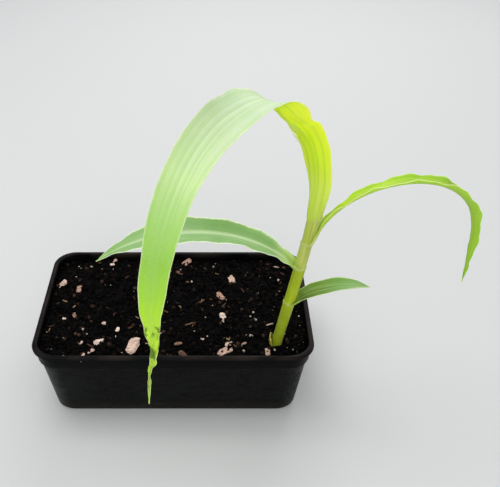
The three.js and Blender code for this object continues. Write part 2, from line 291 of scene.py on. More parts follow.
class Net:
    """Adds nodes to a material or a group and joins their sockets."""

    def __init__(self, tree):
        self.tree = tree

    def fill(self, socket, value):
        if isinstance(value, bpy.types.NodeSocket):
            self.tree.links.new(value, socket)
        else:
            socket.default_value = value

    def add(self, kind, inputs=None, **settings):
        node = self.tree.nodes.new("ShaderNode" + kind)
        for key, value in settings.items():
            setattr(node, key, value)
        for key, value in (inputs or {}).items():
            self.fill(node.inputs[key], value)
        return node

    def math(self, operation, first, second=0, clamp=False):
        node = self.add("Math", {0: first, 1: second}, operation=operation, use_clamp=clamp)
        return node.outputs[0]

    def times(self, first, second):
        return self.math("MULTIPLY", first, second)

    def plus(self, first, second, clamp=False):
        return self.math("ADD", first, second, clamp)

    def mapped(self, value, low, high, to_low=0, to_high=1):
        ends = {"From Min": low, "From Max": high, "To Min": to_low, "To Max": to_high}
        node = self.add("MapRange", {"Value": value, **ends}, interpolation_type="SMOOTHSTEP")
        return node.outputs["Result"]

    def between(self, value, start, full, fade, end):
        return self.times(self.mapped(value, start, full), self.mapped(value, fade, end, 1, 0))

    def blend(self, share, first, second, blend_type="MIX"):
        """Mixes two colours, each a socket or a screen colour."""
        node = self.add("Mix", {0: share}, data_type="RGBA", blend_type=blend_type)
        for key, value in ((6, first), (7, second)):
            self.fill(node.inputs[key], shade(*value) if isinstance(value, tuple) else value)
        return node.outputs[2]

    def ramp(self, value, stops):
        """Colours along a value, from stops of a position and a screen colour."""
        node = self.add("ValToRGB", {"Fac": value})
        points = node.color_ramp.elements
        while len(points) < len(stops):
            points.new(0.5)
        for point, (position, *tone) in zip(points, stops):
            point.position = position
            point.color = shade(*tone)
        return node.outputs["Color"]

    def noise(self, vector, scale, detail=3, roughness=0.55):
        sizes = {"Vector": vector, "Scale": scale, "Detail": detail, "Roughness": roughness}
        return self.add("TexNoise", sizes).outputs["Fac"]

    def where(self):
        return self.add("TexCoord").outputs["Object"]

    def stretched(self, vector, scale, rotation=(0, 0, 0)):
        sizes = {"Vector": vector, "Scale": scale, "Rotation": rotation}
        return self.add("Mapping", sizes).outputs[0]

    def spot(self, x, y, z=0):
        return self.add("CombineXYZ", {"X": x, "Y": y, "Z": z}).outputs[0]

    def split(self, vector):
        return self.add("SeparateXYZ", {0: vector}).outputs

    def sheet_map(self):
        return self.split(self.add("UVMap", uv_map="UVMap").outputs[0])

    def attribute(self, name):
        return self.add("Attribute", attribute_name=name).outputs["Fac"]

    def group(self, group, **values):
        return self.add("Group", values, node_tree=group).outputs


def new_group(name, inputs, outputs):
    group = bpy.data.node_groups.new(name, "ShaderNodeTree")
    for label, value in inputs.items():
        socket = group.interface.new_socket(label, in_out="INPUT", socket_type="NodeSocketFloat")
        socket.default_value = value
    for label in outputs:
        group.interface.new_socket(label, in_out="OUTPUT", socket_type="NodeSocketFloat")
    taken = group.nodes.new("NodeGroupInput")
    given = group.nodes.new("NodeGroupOutput")
    return group, Net(group), taken.outputs, given.inputs


class Finish(Net):
    """The nodes of a new material round its shader."""

    def __init__(self, name):
        self.material = bpy.data.materials.new(name)
        self.material.use_nodes = True
        super().__init__(self.material.node_tree)
        self.shader = self.tree.nodes["Principled BSDF"].inputs

    def joined(self, colour, rough, relief, strength, distance, **plain):
        """The finished material. Values in plain are the same all over."""
        bump = self.add("Bump", {"Height": relief, "Strength": strength, "Distance": distance})
        self.fill(self.shader["Base Color"], colour)
        self.fill(self.shader["Roughness"], rough)
        self.fill(self.shader["Normal"], bump.outputs[0])
        for label, value in plain.items():
            self.shader[label.replace("_", " ")].default_value = value
        return self.material


def make_blade_veins():
    """Veins, midrib, margins and long streaks of a blade, read from its own UV map."""
    group, net, taken, given = new_group(
        "blade_veins",
        {"Veins": 12, "Streaks": 6, "Rib": 0.075, "Edge": 0.93},
        ["Vein", "Midrib", "Margin", "Streak", "Along", "Relief"],
    )
    parts = net.sheet_map()
    side, along = parts["X"], parts["Y"]
    across = net.times(net.math("ABSOLUTE", net.math("SUBTRACT", side, 0.5)), 2)

    def lines(width, length, offset):
        spot = net.spot(net.times(side, width), net.times(along, length), offset)
        return net.noise(spot, 1, 2, 0.5)

    veins = taken["Veins"]
    broad = net.mapped(lines(taken["Streaks"], 0.9, 0), 0.41, 0.59)
    narrow = net.mapped(lines(veins, 1.3, 5), 0.4, 0.6)
    fine = net.mapped(lines(net.times(veins, 3.4), 4, 9), 0.36, 0.64)
    broken = net.mapped(fine, 0, 1, 0.55, 1)
    vein = net.times(net.mapped(lines(net.times(veins, 1.7), 1.3, 13), 0.54, 0.7), broken)
    streak = net.plus(net.times(broad, 0.5), net.times(narrow, 0.35))
    streak = net.plus(streak, net.times(fine, 0.15))
    midrib = net.mapped(across, net.times(taken["Rib"], 0.2), taken["Rib"], 1, 0)
    ragged = net.times(net.math("SUBTRACT", lines(3, 46, 17), 0.5), 0.14)
    edge = net.mapped(net.plus(across, ragged), taken["Edge"], 0.985)
    margin = net.times(edge, net.mapped(along, 0.04, 0.13))
    ribs = net.times(net.math("COSINE", net.times(net.times(side, veins), 6 * math.pi)), 0.25)
    relief = net.plus(ribs, net.times(net.plus(narrow, fine), 0.4))
    for socket, value in zip(given, (vein, midrib, margin, streak, along, relief)):
        net.fill(socket, value)
    return group


def make_mottle():
    """Soft uneven patches over a surface, large and small."""
    sizes = {"Coarse": 60, "Fine": 420}
    group, net, taken, given = new_group("mottle", sizes, ["Patch", "Speck"])
    where = net.where()
    net.fill(given["Patch"], net.mapped(net.noise(where, taken["Coarse"]), 0.35, 0.65))
    net.fill(given["Speck"], net.mapped(net.noise(where, taken["Fine"]), 0.4, 0.7))
    return group


blade_veins = make_blade_veins()
mottle = make_mottle()


LEAF_ROUGHNESS = 0.45
CRISP_STREAKS = (0.34, 0.66)
PALE_MARGIN = (224, 236, 186, 0.5)
LEAF_PATCHES = 0.12
BLOOM = 0.05
# How midrib and veins fade towards the tip, and what is left of their strength there
RIB_FADE = 0.12
RIB_LEFT = 0.2
VEINS_LEFT = 0.4
# The big leaf's withered end and the dry flap on its left margin, as shares of its length, and the
# strength of the painted shade in the withered end's creases
WITHERED = (0.862, 0.945)
CREASE_SHADE = 0.82
FLAP = (0.177, 0.195)
FLAP_FADE = 0.005


def with_dry_flap(net, along, colour):
    """The pale dry edge of the small flap on the big leaf's left margin."""
    start, stop = FLAP
    length = net.between(along, start - FLAP_FADE, start, stop, stop + FLAP_FADE)
    dry = net.times(length, net.mapped(net.sheet_map()["X"], 0.09, 0.2, 1, 0))
    return net.blend(dry, colour, (240, 244, 214))


def with_painted_crease_shade(net, along, colour):
    """Painted shade in the creases where the big leaf's end has withered and folded."""
    where = net.where()
    folds = net.mapped(net.noise(net.stretched(where, (1, 1, 0.3)), 320, 1.5), 0.48, 0.62)
    wrinkles = net.mapped(net.noise(where, 460, 2), 0.47, 0.62)
    start, stop = WITHERED
    neck = net.between(along, start - 0.014, start, start + 0.006, start + 0.022)
    end = net.between(along, start, start + 0.02, stop, stop + 0.03)
    # Painted shade: dark green laid into the folds and wrinkles of the withered end
    dark = net.plus(net.times(wrinkles, neck), net.times(folds, end), True)
    return net.blend(net.times(dark, CREASE_SHADE), colour, (70, 100, 8))


def blade_finish(name, stops, streaked, vein, midrib, veins, margin=PALE_MARGIN, streaks=6,
                 rib=0.075, rib_until=1, edge=0.93, withered=False):
    """One face of a blade: its colour along the leaf, then streaks, veins, midrib and margins."""
    net = Finish(name)
    marks = net.group(blade_veins, Veins=veins, Streaks=streaks, Rib=rib, Edge=edge)
    patches = net.group(mottle, Coarse=70, Fine=1100)
    along = marks["Along"]

    def fading(strength, left):
        return net.mapped(along, rib_until, rib_until + RIB_FADE, strength, left * strength)

    streak = net.mapped(marks["Streak"], *CRISP_STREAKS) if withered else marks["Streak"]
    colour = net.ramp(along, stops)
    for share, tone in (
        (net.times(streak, streaked[3]), streaked[:3]),
        (net.times(patches["Patch"], LEAF_PATCHES), streaked[:3]),
        (net.times(marks["Vein"], fading(vein[3], VEINS_LEFT)), vein[:3]),
        (net.times(marks["Midrib"], fading(midrib[3], RIB_LEFT)), midrib[:3]),
        (net.times(patches["Speck"], BLOOM), vein[:3]),
        (net.times(marks["Margin"], margin[3]), margin[:3]),
    ):
        colour = net.blend(share, colour, tone)
    if withered:
        # The withered end gets painted shade in its creases and a pale dry flap
        colour = with_dry_flap(net, along, with_painted_crease_shade(net, along, colour))
    rough = net.plus(net.times(marks["Streak"], 0.12), LEAF_ROUGHNESS)
    return net.joined(
        colour, rough, marks["Relief"], 0.3, 0.0002, Specular_IOR_Level=0.3,
        Subsurface_Weight=0.6, Subsurface_Radius=(0.7, 1, 0.2), Subsurface_Scale=0.001,
    )


# Each face of each blade: its colours along the leaf, then the colour and the strength of its
# streaks, veins, midrib and margins
BLADE_FACES = {
    # Leaf 1's upper face: its dark green is partly its own colour and partly painted shade.
    "leaf_1_upper": dict(
        stops=((0, 140, 170, 40), (0.12, 92, 116, 0), (0.36, 108, 142, 6), (0.7, 138, 178, 96),
               (1, 158, 192, 128)),
        streaked=(60, 102, 6, 0.45), vein=(176, 204, 134, 0.3), midrib=(180, 206, 120, 0.4),
        margin=(224, 236, 186, 0.6), veins=10,
    ),
    "leaf_1_under": dict(
        veins=10, stops=((0, 180, 192, 90), (0.14, 136, 170, 40), (1, 110, 162, 44)),
        streaked=(76, 130, 20, 0.45), vein=(156, 192, 90, 0.35), midrib=(176, 208, 100, 0.5),
    ),
    # Leaf 2's upper face: the pale first stops near the stem are painted light that lifts the shade
    # there.
    "leaf_2_upper": dict(
        stops=((0, 214, 230, 136), (0.07, 196, 218, 134), (0.17, 138, 174, 104),
               (0.45, 126, 164, 92), (0.66, 158, 190, 130), (1, 140, 182, 98)),
        streaked=(112, 154, 88, 0.5), vein=(194, 214, 176, 0.46), midrib=(206, 222, 180, 0.6),
        margin=(234, 242, 214, 0.9), veins=11, rib=0.2, edge=0.86,
    ),
    "leaf_2_under": dict(
        veins=11, stops=((0, 204, 212, 130), (0.08, 160, 192, 60), (1, 134, 182, 48)),
        streaked=(92, 146, 20, 0.45), vein=(180, 212, 110, 0.35), midrib=(196, 222, 116, 0.6),
    ),
    "leaf_3_upper": dict(
        stops=((0, 220, 236, 90), (0.16, 198, 224, 30), (0.4, 180, 212, 60), (1, 160, 198, 86)),
        streaked=(120, 164, 54, 0.42), vein=(196, 220, 150, 0.35), midrib=(218, 234, 182, 0.7),
        margin=(224, 236, 186, 0.6), veins=11,
    ),
    "leaf_3_under": dict(
        veins=11, stops=((0, 218, 226, 132), (0.08, 190, 210, 64), (1, 162, 202, 52)),
        streaked=(116, 168, 14, 0.45), vein=(190, 218, 100, 0.35), midrib=(206, 228, 120, 0.6),
    ),
    # Leaf 4's upper face: the pale bluish stops over the arch, 0.24 to 0.63, are partly its own
    # waxy bloom and partly painted sky reflection.
    "leaf_4_upper": dict(
        stops=((0, 172, 196, 62), (0.24, 190, 208, 138), (0.34, 192, 210, 172),
               (0.45, 183, 198, 165), (0.55, 192, 206, 167), (0.63, 191, 213, 154),
               (0.7, 164, 200, 110), (0.76, 145, 190, 60), (0.82, 168, 214, 24),
               (0.88, 196, 230, 16), (1, 172, 206, 50)),
        streaked=(152, 190, 104, 0.31), vein=(226, 238, 208, 0.16), midrib=(228, 240, 206, 0.2),
        margin=(236, 242, 214, 0.4), veins=19, streaks=12, rib=0.06, rib_until=0.6,
        withered=True,
    ),
    # Leaf 4's underside: the bright yellow stops from 0.07 to 0.28 are partly its own yellow-green
    # and partly painted light shining through the blade.
    "leaf_4_under": dict(
        stops=((0, 184, 194, 92), (0.03, 198, 210, 96), (0.07, 216, 232, 98), (0.13, 216, 238, 48),
               (0.22, 226, 248, 24), (0.28, 232, 250, 36), (0.6, 176, 218, 44), (1, 150, 204, 40)),
        streaked=(176, 214, 6, 0.6), vein=(255, 255, 110, 0.5), midrib=(226, 242, 96, 0.2),
        margin=(236, 244, 150, 0.6), veins=9, streaks=7, rib=0.07, withered=True,
    ),
    "leaf_5_upper": dict(
        veins=6, stops=((0, 178, 200, 60), (1, 196, 216, 120)),
        streaked=(150, 184, 44, 0.4), vein=(218, 232, 150, 0.3), midrib=(212, 228, 140, 0.3),
    ),
    "leaf_5_under": dict(
        veins=6, stops=((0, 176, 196, 50), (0.8, 184, 206, 80), (1, 224, 228, 166)),
        streaked=(142, 176, 20, 0.4), vein=(218, 232, 140, 0.3), midrib=(212, 228, 130, 0.3),
    ),
}


# The stem's own line, as in the part


def stem_at(height):
    height = np.asarray(height, float)
    share = height / STEM_HEIGHT
    x = FOOT_X + STEM_LEAN * share + STEM_BOW * np.sin(math.pi * np.clip(share, 0, 1))
    return np.stack([x, FOOT_Y + STEM_LEAN_FORWARD * share, STEM_FOOT + height], -1)


def stem_radius(height):
    flare = FOOT_FLARE * math.exp(-max(height, 0) / FLARE_HEIGHT)
    taper = FOOT_RADIUS + (SHEATH_RADIUS - FOOT_RADIUS) * min(max(height, 0) / COLLAR_HEIGHTS[0], 1)
    passed = sum(height > collar for collar in COLLAR_HEIGHTS)
    opening = float(smooth_step(COLLAR_HEIGHTS[2], STEM_HEIGHT, height))
    widened = (taper - SHEATH_STEP * passed) * (1 - opening) + WHORL_RADIUS * opening
    return flare + widened


# Blades


def turned(share, start, stop):
    """The part of a bend that is done at a share of the length, with soft ends."""
    def eased(x):
        rounded = np.where(x < END_ROUNDING, x * x / (2 * END_ROUNDING), x - END_ROUNDING / 2)
        return np.where(x <= 0, 0, rounded)

    return np.clip((eased(share - start) - eased(share - stop)) / (stop - start), 0, 1)


def blade_line(blade):
    """Even shares of a blade's length with the midrib's place and heading at each."""
    share = np.linspace(0, 1, FINE_STEPS + 1)
    first, last = blade["slopes"]
    slope = np.radians(first + (last - first) * turned(share, *blade["span"]))
    way = np.radians(blade["azimuth"] + blade["turn"] * share)
    heading = np.stack([np.cos(slope) * np.cos(way), np.cos(slope) * np.sin(way), np.sin(slope)], 1)
    seat = math.radians(blade.get("seat", blade["azimuth"]))
    if blade["collar"] == WHORL:
        root = stem_at(STEM_HEIGHT) + np.array([0, 0, WHORL_SEAT])
        out = WHORL_OFFSET
    else:
        collar = COLLAR_HEIGHTS[blade["collar"]]
        root = stem_at(collar)
        out = stem_radius(collar) + COLLAR_REACH - ROOTED
    root = root + out * np.array([math.cos(seat), math.sin(seat), 0])
    steps = np.cumsum(heading[:-1], 0) * blade["length"] / FINE_STEPS
    return share, root + np.vstack([np.zeros(3), steps]), heading


def marked(blade, key, share, plain=0):
    """A blade's own marks along its length, or a plain value where it has none."""
    places, values = zip(*blade.get(key, ((0, plain), (1, plain))))
    return np.interp(share, places, values)


def half_width(blade, share, side):
    """Half the width of a blade on one side, with the cuts in its margins and its own taper."""
    opened = np.minimum(share / blade.get("opens", NECK_SHARE), 1) ** NECK_CURVE
    neck = blade["neck"] + (1 - blade["neck"]) * opened
    past = np.clip((share - blade["broadest"]) / (1 - blade["broadest"]), 0, 1)
    width = blade["width"] * neck * (1 - past ** blade["point"])
    width = width * marked(blade, "width_marks", share, 1)
    half = np.maximum(width, TIP_WIDTH) / 2
    cuts = [marked(blade, key, share) for key in ("right_cuts", "left_cuts")]
    return half - np.where(side > 0, *cuts)


def blade_section(blade, across, share):
    """Places on a blade, where across runs from -1 to 1 over its width."""
    fine, line, heading = blade_line(blade)
    middle, along = (
        np.stack([np.interp(share, fine, row) for row in rows.T], 1) for rows in (line, heading)
    )
    along /= np.linalg.norm(along, axis=1)[:, None]
    way = np.radians(blade["azimuth"] + blade["turn"] * share)
    level = np.stack([-np.sin(way), np.cos(way), 0 * way], 1)
    upper = np.cross(along, level)
    knots = np.linspace(0, 1, len(blade["twist"]))
    tilt = np.radians(np.interp(share, knots, blade["twist"]))[:, None]
    side = level * np.cos(tilt) + upper * np.sin(tilt)
    up = np.cross(along, side)
    half = half_width(blade, share, across)
    narrowest = NARROWEST_SHARE * blade["width"] / 2
    curl = CHANNEL_CURL * blade["channel"] / np.maximum(half, narrowest)
    if "rolled" in blade:
        start, stop, tightness = blade["rolled"]
        curl = curl + tightness * between(start, start + ROLL_FADE, stop, stop + ROLL_FADE, share)
    turn = curl * across * half
    over = np.sin(turn) / curl
    lift = (1 - np.cos(turn)) / curl
    lift = lift + 2 * half * marked(blade, "sag_marks", share) * (across**2 - 1)
    open_share = between(*RIPPLED, share)
    size, waves, phase = blade["ripple"]
    wave = np.sin(2 * math.pi * waves * share + phase + np.where(across > 0, RIPPLE_LAG, 0))
    wave = wave + SHORT_WAVE_SHARE * np.sin(2 * math.pi * waves * SHORT_WAVES * share + 2 * phase)
    lift = lift + size * open_share * np.abs(across) ** 3 * wave
    groove = blade.get("groove", GROOVE_DEPTH) * np.exp(-(across / GROOVE_SHARE) ** 2)
    groove = groove * (1 - smooth_step(*GROOVE_FADE, share))
    ridges = VEIN_RIDGE_HEIGHT * np.cos(2 * math.pi * VEIN_RIDGES * across)
    lift = lift - groove * half / (blade["width"] / 2) + ridges * open_share
    over = over + marked(blade, "sway_marks", share)
    if "curl" in blade:
        over, lift = curled_back(over, lift, across, share, half, **blade["curl"])
    return middle + side * over[:, None] + up * lift[:, None]


def curled_back(over, lift, across, share, half, place, side, run, reach, angle):
    """Rolls a short stretch of one margin back under the blade."""
    amount = np.exp(-((share - place) / run) ** 4)
    outer = np.clip((across * side - (1 - reach)) / reach, 0, 1)
    bend = np.radians(angle) * amount * outer + TINY
    arc = outer * reach * half
    drawn_in = arc * (1 - np.sin(bend) / bend)
    dropped = arc * (1 - np.cos(bend)) / bend
    return over - side * drawn_in, lift - dropped


def clasped(blade, across):
    """The base row of a blade, which lies round the stem at its collar."""
    collar = COLLAR_HEIGHTS[blade["collar"]]
    seat = math.radians(blade.get("seat", blade["azimuth"]))
    turn = seat + math.radians(blade["clasp"]) * across
    radius = stem_radius(collar) + blade.get("clasp_gap", CLASP_GAP)
    row = stem_at(collar + np.abs(across) ** 2 * CLASP_RISE - CLASP_DROP)
    return row + radius * np.stack([np.cos(turn), np.sin(turn), 0 * turn], 1)


def crumpled(blade, places, across, share):
    """Dents the withered end of a blade."""
    start, stop, depth = blade["crumple"]
    amount = between(start, start + DENTS_COME, stop, stop + DENTS_GO, share)
    for index in np.nonzero(amount > FAINTEST_DENT)[0]:
        along = share[index] * blade["length"] / DENT_LENGTH
        spot = Vector((across[index] * DENTS_ACROSS, along, DENT_LEVEL))
        dent = [noise.turbulence(spot + Vector((shift,) * 3), 2, False) for shift in DENT_SHIFTS]
        places[index] += depth * amount[index] * np.array(dent)
    return places


def make_blade(key, slot, *nodes):
    blade = BLADES[key]
    piece, across, share = new_sheet(key + "_blade", BLADE_COLUMNS, blade["rows"])
    places = blade_section(blade, across, share)
    held = 1 - smooth_step(0, 1, share * blade["length"] / blade["clasp_run"])
    base = clasped(blade, across) - blade_section(blade, across, 0 * share)
    places = places + base * held[:, None]
    if "crumple" in blade:
        places = crumpled(blade, places, across, share)
    place_all(piece, places * MM)
    body = piece.vertex_groups.new(name="body")
    weight = 1 - (1 - MARGIN_SHARE) * np.abs(across) ** MARGIN_THINNING
    for index, amount in enumerate(weight):
        body.add([index], float(amount), "REPLACE")
    for face in (key + "_under", key + "_upper"):
        piece.data.materials.append(blade_finish(face, **BLADE_FACES[face]))
    thicken(
        piece, BLADE_THICKNESS, BLADE_SHADING, vertex_group="body",
        thickness_vertex_group=MARGIN_SHARE, material_offset=1, material_offset_rim=1,
    )
    dress(piece, slot, *nodes)


make_blade("leaf_1", "leaf", "leaf_1")
make_blade("leaf_2", "leaf", "leaf_2_rising", "leaf_2_drooping")
make_blade("leaf_3", "leaf", "leaf_3_rising", "leaf_3_drooping")
make_blade("leaf_4", "leaf", "leaf_4_rising", "leaf_4_arch", "leaf_4_hanging")
make_blade("leaf_5", "young_leaf", "leaf_5")


# Stem: sheaths rolled round each other, drawn up ring by ring, closer together at the collars
STEM_SIDES = 64
STEM_SUNK = 2.5
STEM_SHADING = 60
RING_STEP = 1.6
COLLAR_RINGS = (-2.4, -1.5, -0.9, -0.4, 0, 0.35, 0.6, 0.9, 1.6)
TOP_INSET = 1.2
CORE_RADIUS = 1.8
# Where each sheath's seam lies round the stem, from the lowest up, and its step
SEAMS = (200, 15, 170, 20, 120)
SEAM_RISE = 0.2
SEAM_STEP = 0.3
COLLAR_BEAD = 0.25
BEAD_HEIGHT = 0.75
WOBBLE = 0.09
WOBBLE_LENGTH = 9
WOBBLE_LEVEL = 3.1


def sheath_finish():
    net = Finish("sheath")
    height, around = net.attribute("height"), net.attribute("around")
    patches = net.group(mottle, Coarse=150, Fine=900)
    colour = net.ramp(height, (
        (0, 130, 142, 0), (0.06, 136, 150, 0), (0.3, 152, 168, 0), (0.37, 170, 190, 4),
        (0.618, 166, 183, 12), (0.636, 196, 204, 100), (0.78, 194, 202, 108), (0.82, 180, 192, 78),
        (1, 196, 210, 100),
    ))
    ribs_at = net.spot(net.times(around, 22), net.times(height, 3))
    ribs = net.mapped(net.noise(ribs_at, 1), 0.35, 0.65)
    colour = net.blend(net.times(ribs, 0.42), colour, (112, 136, 10))
    colour = net.blend(net.times(patches["Patch"], 0.12), colour, (196, 204, 120))
    colour = net.blend(net.times(net.attribute("collar"), 0.4), colour, (206, 214, 150))
    wave = net.math("COSINE", net.times(around, 2 * math.pi * 46))
    relief = net.plus(net.times(wave, 0.3), ribs)
    rough = net.mapped(ribs, 0, 1, 0.34, 0.5)
    return net.joined(
        colour, rough, relief, 0.35, 0.00015, Specular_IOR_Level=0.2,
        Sheen_Weight=0.06, Sheen_Roughness=0.4, Subsurface_Weight=0.35,
        Subsurface_Radius=(0.8, 1, 0.3), Subsurface_Scale=0.0008,
    )


def collar_bead(height):
    return max(math.exp(-((height - collar) / BEAD_HEIGHT) ** 2) for collar in COLLAR_HEIGHTS)


def make_stem():
    rings = {collar + step for collar in COLLAR_HEIGHTS for step in COLLAR_RINGS}
    rings |= {-STEM_SUNK, *np.arange(0, STEM_HEIGHT, RING_STEP).round(2), STEM_HEIGHT}
    heights = sorted(height for height in rings if height <= STEM_HEIGHT)
    nothing_selected()
    bpy.ops.mesh.primitive_circle_add(
        vertices=STEM_SIDES, radius=stem_radius(heights[0]) * MM, fill_type="NGON",
        location=stem_at(heights[0]) * MM,
    )
    piece = call_it("stem_sheaths")
    bpy.ops.object.transform_apply()
    edit_all()
    for low, high in zip(heights, heights[1:]):
        draw_up((stem_at(high) - stem_at(low)) * MM)
        grow = stem_radius(high) / stem_radius(low)
        bpy.ops.transform.resize(value=(grow, grow, 1), center_override=tuple(stem_at(high) * MM))
    bpy.ops.mesh.inset(thickness=TOP_INSET * MM)
    edit_done()
    places = places_of(piece) / MM
    height = places[:, 2] - STEM_FOOT
    middle = stem_at(height)
    spoke = places[:, :2] - middle[:, :2]
    angle = np.arctan2(spoke[:, 1], spoke[:, 0])
    reach = np.linalg.norm(spoke, axis=1)
    level = sum((height > collar + SEAM_RISE).astype(int) for collar in COLLAR_HEIGHTS)
    spiral = np.mod((angle - np.radians(np.array(SEAMS)[level])) / (2 * math.pi), 1)
    bead = np.array([collar_bead(h) for h in height])
    swell = SEAM_STEP * (spiral - 0.5) + COLLAR_BEAD * bead
    wobble = noise_along(np.cos(angle), height / WOBBLE_LENGTH, WOBBLE_LEVEL)
    outer = reach > CORE_RADIUS
    reach = reach + np.where(outer, swell, 0) + np.where(outer, WOBBLE * wobble, 0)
    places[:, 0] = middle[:, 0] + reach * np.cos(angle)
    places[:, 1] = middle[:, 1] + reach * np.sin(angle)
    place_all(piece, places * MM)
    mark_points(piece.data, "height", np.clip(height / STEM_HEIGHT, 0, 1))
    mark_points(piece.data, "around", angle / (2 * math.pi) + 0.5)
    mark_points(piece.data, "collar", bead)
    finish_mesh(piece, sheath_finish(), STEM_SHADING)
    dress(piece, "sheath", "stem")


make_stem()


# Papery scale round the foot's left side
SCALE_GRID = (34, 20)
SCALE_AZIMUTH = 172
SCALE_SPREAD = 60
SCALE_HEIGHT = 7.6
SCALE_THICKNESS = 0.25
SCALE_SHADING = 45
SCALE_SUNK = 0.6
SCALE_REACH = 0.6
SCALE_FLARE = 1.6
SCALE_NARROWING = 0.5
SCALE_CLOSING = 0.64
SCALE_ROUNDING = 0.34
# Its ragged upper edge and its waves: how many and how strong
SCALE_TEETH = 4.2
SCALE_RAGGED = 0.12
SCALE_WAVES = (2.6, 2.2)
SCALE_WAVE_HEIGHT = 0.5


def papery_finish():
    net = Finish("papery_scale")
    marks = net.group(blade_veins, Veins=7, Streaks=9)
    patches = net.group(mottle, Coarse=260, Fine=1500)
    colour = net.ramp(marks["Along"], (
        (0, 146, 154, 2), (0.5, 150, 140, 4), (0.84, 150, 124, 20), (0.94, 216, 206, 120),
    ))
    colour = net.blend(net.times(patches["Patch"], 0.25), colour, (132, 112, 14))
    colour = net.blend(net.times(marks["Vein"], 0.25), colour, (190, 176, 80))
    colour = net.blend(net.times(marks["Margin"], 0.85), colour, (222, 212, 128))
    rough = net.mapped(patches["Speck"], 0, 1, 0.6, 0.8)
    return net.joined(colour, rough, marks["Relief"], 0.5, 0.0002)


def make_scale():
    piece, across, share = new_sheet("foot_scale", *SCALE_GRID)
    spread = math.radians(SCALE_SPREAD) * np.sqrt(1 - SCALE_NARROWING * share**4)
    turn = math.radians(SCALE_AZIMUTH) + spread * across
    ragged = noise_along(across * SCALE_TEETH, 0.3, 8.8)
    edge = 1 - SCALE_ROUNDING * across**2 + SCALE_RAGGED * ragged * share
    height = SCALE_HEIGHT * share * edge - SCALE_SUNK
    middle = stem_at(height)
    bulge = SCALE_FLARE * np.sin(math.pi * SCALE_CLOSING * share)
    radius = np.array([stem_radius(h) for h in height]) + SCALE_REACH + bulge
    waves = noise_along(across * SCALE_WAVES[0], share * SCALE_WAVES[1], 1.4)
    radius = radius + SCALE_WAVE_HEIGHT * waves * share
    spoke = np.stack([np.cos(turn), np.sin(turn), 0 * turn], 1) * radius[:, None]
    place_all(piece, (middle + spoke) * MM)
    piece.data.materials.append(papery_finish())
    thicken(piece, SCALE_THICKNESS, SCALE_SHADING)
    dress(piece, "papery_scale", "coleoptile")


make_scale()


# Pot: a rounded sheet drawn up its outside, over the lip and down its inside
POT_SHADING = 35


def outer_inset(z):
    top = BAND_INSET + BAND_STEP
    return FOOT_INSET + (top - FOOT_INSET) * z / SHOULDER


def pot_profile():
    """How far in and how high the pot's wall stands, from its foot round to its bottom inside."""
    foot, shoulder = outer_inset(0), outer_inset(SHOULDER)
    outside = [
        (foot + 1.5, 0), (foot + 0.5, 0.35), (outer_inset(1.5), 1.6),
        (shoulder + 0.1, SHOULDER - 0.6), (shoulder - 0.2, SHOULDER),
        (BAND_INSET + 0.15, BAND_FOOT - 0.2), (BAND_INSET, BAND_FOOT + 0.4),
    ]
    lip_below_brim = [
        (1.85, 2.5), (1.5, 2.1), (0.35, 1.95), (0.05, 1.6), (0, 0.5), (0.25, 0.12), (0.7, 0),
        (2.2, 0), (2.75, 0.15), (1.85 + WALL, 0.8),
    ]
    inside = [
        (BAND_INSET + WALL, BAND_FOOT + 0.8), (shoulder + WALL, SHOULDER - 0.4),
        (outer_inset(3) + WALL, 3), (outer_inset(WALL) + 2.4, WALL + 0.2),
    ]
    return outside + [(inset, POT_HEIGHT - below) for inset, below in lip_below_brim] + inside


def draw_in(inset, last, z, upright=1):
    """Draws the picked ring in to an inset at a height z. With upright 0 it is levelled too."""
    across = (POT_LENGTH - 2 * inset) / (POT_LENGTH - 2 * last)
    deep = (POT_DEPTH - 2 * inset) / (POT_DEPTH - 2 * last)
    bpy.ops.transform.resize(value=(across, deep, upright), center_override=(0, 0, z * MM))


def plastic_finish():
    net = Finish("black_plastic")
    where = net.where()
    height = net.split(where)["Z"]
    patches = net.group(mottle, Coarse=38, Fine=800)
    dusty = net.times(patches["Patch"], patches["Speck"])
    colour = net.blend(net.times(dusty, 0.2), (1, 2, 2), (40, 36, 33))
    # Round the top of the lip: pale dust mixed with a painted highlight
    rim_dust_and_highlight = net.times(net.mapped(height, 0.052, 0.0555), patches["Patch"])
    colour = net.blend(net.times(rim_dust_and_highlight, 0.1), colour, (112, 93, 86))
    foot_dust = net.times(net.mapped(height, 0, 0.012, 0.3, 0), patches["Speck"])
    colour = net.blend(foot_dust, colour, (92, 82, 68))
    scuffs = net.noise(net.stretched(where, (1, 1, 3), (0.5, 0.3, 0)), 120, 6, 0.75)
    rough = net.plus(net.mapped(scuffs, 0.35, 0.7, 0.3, 0.46), net.times(dusty, 0.3))
    grain = net.noise(where, 2600, 2)
    return net.joined(colour, rough, grain, 0.2, 0.0001, Specular_IOR_Level=0.05)


def make_pot():
    profile = pot_profile()
    nothing_selected()
    bpy.ops.mesh.primitive_plane_add(size=1)
    piece = call_it("pot_shell")
    piece.scale = (POT_LENGTH * MM, POT_DEPTH * MM, 1)
    bpy.ops.object.transform_apply()
    edit_all()
    bpy.ops.mesh.bevel(offset=POT_CORNER * MM, segments=CORNER_SEGMENTS, affect="VERTICES")
    bpy.ops.mesh.select_all(action="SELECT")
    draw_in(profile[0][0], 0, 0)
    for (last, low), (inset, high) in zip(profile, profile[1:]):
        draw_up((0, 0, (high - low) * MM))
        draw_in(inset, last, high)
    edit_done()
    finish_mesh(piece, plastic_finish(), POT_SHADING)
    dress(piece, "black_plastic", "pot")


make_pot()


# Compost: a crumbly surface over a closed body that fills the pot
SOIL_GRID = (250, 150)
SOIL_SHADING = 70
SOIL_LEVELS = (SHOULDER - 1, 2.2)
WALL_GAP = 0.4
